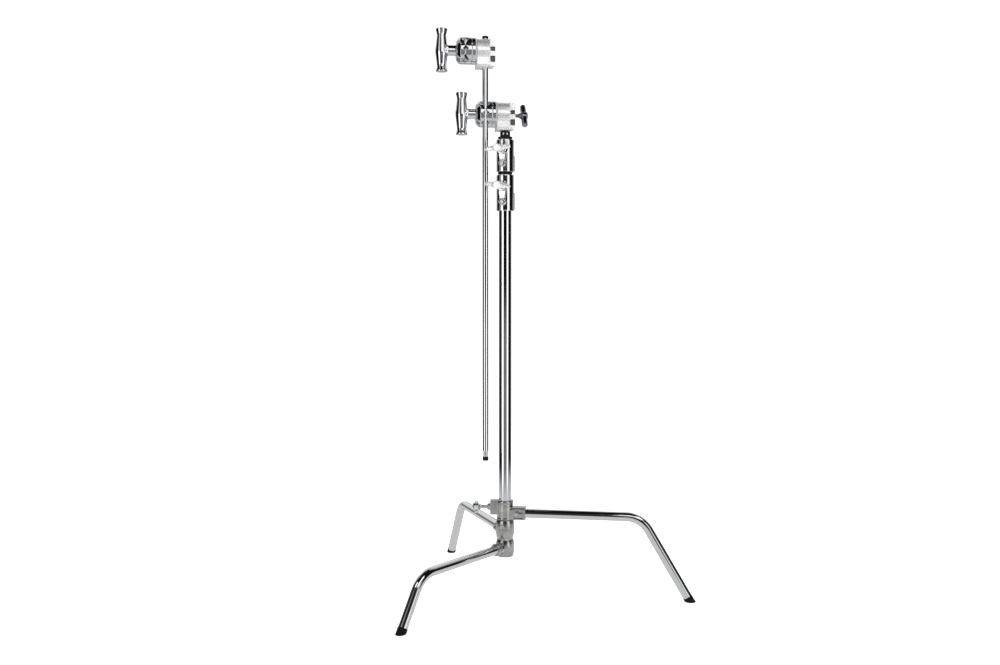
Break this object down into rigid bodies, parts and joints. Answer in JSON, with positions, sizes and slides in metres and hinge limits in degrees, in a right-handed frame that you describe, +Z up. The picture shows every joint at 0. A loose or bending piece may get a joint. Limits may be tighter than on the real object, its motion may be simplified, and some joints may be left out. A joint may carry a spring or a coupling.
{
  "type": "c stand",
  "caption": "Chromed grip stand on three bent legs at staggered heights, with telescoping column, grip head on its stud and a round arm carrying a second grip head.",
  "frame": {"origin": "middle of the footprint's bounding box, on the floor", "axes": "+Z up; both grip heads point their T handles along -X, and the stored arm stands on the -X side of the column"},
  "size_m": [0.8304, 0.7777, 1.5615],
  "materials": {
    "cast_metal": "satin cast, lightly polished",
    "collar_metal": "bright satin casting",
    "head_cast": "bright satin casting",
    "leg_chrome": "polished chrome plate",
    "column_chrome": "polished chrome plate",
    "arm_chrome": "polished chrome plate",
    "head_chrome": "polished chrome plate",
    "handle_chrome": "polished chrome plate",
    "screw_dark": "dark chrome plate",
    "stud_steel": "turned steel",
    "bolt_steel": "zinc plated",
    "black_steel": "black oxide",
    "brass": "turned",
    "black_plastic": "moulded, satin",
    "nylon": "natural nylon",
    "fibre": "pressed fibre",
    "foot_rubber": "moulded rubber"
  },
  "bodies": {
    "stand_base": {"lower_leg_casting": "cast_metal", "lower_leg_tube": "leg_chrome", "lower_leg_foot": "foot_rubber", "lower_leg_bolts": "bolt_steel", "column_tube": "column_chrome", "column_bottom_plug": "black_plastic", "column_set_screws": "black_steel", "hub_thrust_washer": "nylon", "lower_collar": "collar_metal", "lower_collar_bolts": "bolt_steel", "lower_collar_ring": "black_plastic"},
    "middle_leg": {"middle_leg_casting": "cast_metal", "middle_leg_tube": "leg_chrome", "middle_leg_foot": "foot_rubber", "middle_leg_bolts": "bolt_steel", "middle_casting_screw": "black_steel"},
    "leg_slider": {"slider_liner": "nylon"},
    "top_leg": {"sliding_leg_bracket": "cast_metal", "top_leg_tube": "leg_chrome", "top_leg_foot": "foot_rubber", "top_leg_bolts": "bolt_steel"},
    "leg_lock_shoe": {"leg_lock_shoe": "brass"},
    "leg_lock_screw": {"leg_lock_screw": "handle_chrome"},
    "lower_collar_shoe": {"lower_collar_shoe": "brass"},
    "lower_collar_lock": {"lower_collar_lock": "collar_metal"},
    "riser_1": {"riser_1_tube": "column_chrome", "riser_1_bush": "nylon", "upper_collar": "collar_metal", "upper_collar_bolts": "bolt_steel", "upper_collar_ring": "black_plastic"},
    "upper_collar_shoe": {"upper_collar_shoe": "brass"},
    "upper_collar_lock": {"upper_collar_lock": "collar_metal"},
    "riser_2": {"riser_2_tube": "column_chrome", "riser_2_bush": "nylon", "stud_cap": "black_plastic", "stud_cap_rivets": "bolt_steel", "stud": "stud_steel"},
    "lower_head_base": {"lower_head_base": "head_cast", "lower_head_bolt": "bolt_steel"},
    "lower_head_pad": {"lower_head_pad": "brass"},
    "lower_head_screw": {"lower_head_screw": "screw_dark"},
    "lower_inner_jaw": {"lower_head_friction_washer": "fibre", "lower_head_backing_disc": "head_chrome", "lower_head_inner_jaw": "head_chrome"},
    "lower_outer_jaw": {"lower_head_outer_jaw": "head_chrome", "lower_head_thrust_washer": "bolt_steel"},
    "lower_handle": {"lower_head_handle": "handle_chrome"},
    "arm": {"arm_tube": "arm_chrome", "arm_top_cap": "black_plastic", "arm_end_stud": "stud_steel", "arm_end_cap": "black_plastic"},
    "upper_head_base": {"upper_head_base": "head_cast", "upper_head_bolt": "bolt_steel", "upper_head_set_screws": "black_steel"},
    "upper_inner_jaw": {"upper_head_friction_washer": "fibre", "upper_head_backing_disc": "head_chrome", "upper_head_inner_jaw": "head_chrome"},
    "upper_outer_jaw": {"upper_head_outer_jaw": "head_chrome", "upper_head_thrust_washer": "bolt_steel"},
    "upper_handle": {"upper_head_handle": "handle_chrome"}
  },
  "joints": [
    {"name": "middle_leg_fold", "type": "hinge", "parent": "stand_base", "child": "middle_leg", "pos_m": [-0.0942, -0.0825, 0.184], "axis": [0, 0, 1], "range_deg": [0, 118]},
    {"name": "top_leg_slide", "type": "slide", "parent": "stand_base", "child": "leg_slider", "axis": [0, 0, 1], "range_m": [0, 0.1]},
    {"name": "top_leg_fold", "type": "hinge", "parent": "leg_slider", "child": "top_leg", "pos_m": [-0.0942, -0.0825, 0.236], "axis": [0, 0, 1], "range_deg": [-118, 0]},
    {"name": "riser_1_slide", "type": "slide", "parent": "stand_base", "child": "riser_1", "axis": [0, 0, 1], "range_m": [0, 0.9]},
    {"name": "riser_2_slide", "type": "slide", "parent": "riser_1", "child": "riser_2", "axis": [0, 0, 1], "range_m": [0, 0.9]},
    {"name": "head_swivel", "type": "hinge", "parent": "riser_2", "child": "lower_head_base", "pos_m": [-0.0942, -0.0825, 1.32], "axis": [0, 0, 1], "range_deg": [-240, 0]},
    {"name": "arm_tilt", "type": "hinge", "parent": "lower_head_base", "child": "lower_inner_jaw", "pos_m": [-0.1442, -0.0825, 1.339], "axis": [1, 0, 0], "range_deg": [0, 120]},
    {"name": "arm_slide", "type": "slide", "parent": "lower_inner_jaw", "child": "arm", "axis": [0, 0, 1], "range_m": [-0.06, 0.88]},
    {"name": "arm_roll", "type": "hinge", "parent": "arm", "child": "upper_head_base", "pos_m": [-0.15221, -0.1055, 1.504], "axis": [0, 0, 1], "continuous": true},
    {"name": "upper_jaw_turn", "type": "hinge", "parent": "upper_head_base", "child": "upper_inner_jaw", "pos_m": [-0.20222, -0.1055, 1.504], "axis": [1, 0, 0], "continuous": true},
    {"name": "leg_lock_shoe_slide", "type": "slide", "parent": "top_leg", "child": "leg_lock_shoe", "axis": [-0.9903, 0.1392, 0], "range_m": [0, 0.00225]},
    {"name": "leg_lock_turn", "type": "hinge", "parent": "leg_lock_shoe", "child": "leg_lock_screw", "pos_m": [-0.0942, -0.0825, 0.248], "axis": [-0.9903, 0.1392, 0], "range_deg": [0, 540]},
    {"name": "lower_collar_lock_shoe_slide", "type": "slide", "parent": "stand_base", "child": "lower_collar_shoe", "axis": [-0.454, -0.891, 0], "range_m": [0, 0.00225]},
    {"name": "lower_collar_lock_turn", "type": "hinge", "parent": "lower_collar_shoe", "child": "lower_collar_lock", "pos_m": [-0.0942, -0.0825, 1.1415], "axis": [-0.454, -0.891, 0], "range_deg": [0, 540]},
    {"name": "upper_collar_lock_shoe_slide", "type": "slide", "parent": "riser_1", "child": "upper_collar_shoe", "axis": [-0.454, -0.891, 0], "range_m": [0, 0.00225]},
    {"name": "upper_collar_lock_turn", "type": "hinge", "parent": "upper_collar_shoe", "child": "upper_collar_lock", "pos_m": [-0.0942, -0.0825, 1.2415], "axis": [-0.454, -0.891, 0], "range_deg": [0, 540]},
    {"name": "socket_screw_shoe_slide", "type": "slide", "parent": "lower_head_base", "child": "lower_head_pad", "axis": [1, 0, 0], "range_m": [0, 0.00225]},
    {"name": "socket_screw_turn", "type": "hinge", "parent": "lower_head_pad", "child": "lower_head_screw", "pos_m": [-0.0942, -0.0825, 1.3365], "axis": [1, 0, 0], "range_deg": [0, 540]},
    {"name": "lower_jaw_open", "type": "slide", "parent": "lower_inner_jaw", "child": "lower_outer_jaw", "axis": [-1, 0, 0], "range_m": [0, 0.007]},
    {"name": "lower_handle_turn", "type": "hinge", "parent": "lower_outer_jaw", "child": "lower_handle", "pos_m": [-0.1942, -0.0825, 1.339], "axis": [-1, 0, 0], "range_deg": [0, 1440]},
    {"name": "upper_jaw_open", "type": "slide", "parent": "upper_inner_jaw", "child": "upper_outer_jaw", "axis": [-1, 0, 0], "range_m": [0, 0.007]},
    {"name": "upper_handle_turn", "type": "hinge", "parent": "upper_outer_jaw", "child": "upper_handle", "pos_m": [-0.25222, -0.1055, 1.504], "axis": [-1, 0, 0], "range_deg": [0, 1440]}
  ],
  "couplings": [
    {"joint": "leg_lock_shoe_slide", "follows": "leg_lock_turn", "m_per_rad": 0.00023873},
    {"joint": "lower_collar_lock_shoe_slide", "follows": "lower_collar_lock_turn", "m_per_rad": 0.00023873},
    {"joint": "upper_collar_lock_shoe_slide", "follows": "upper_collar_lock_turn", "m_per_rad": 0.00023873},
    {"joint": "socket_screw_shoe_slide", "follows": "socket_screw_turn", "m_per_rad": 0.00023873},
    {"joint": "lower_jaw_open", "follows": "lower_handle_turn", "m_per_rad": 0.00027852},
    {"joint": "upper_jaw_open", "follows": "upper_handle_turn", "m_per_rad": 0.00027852}
  ]
}
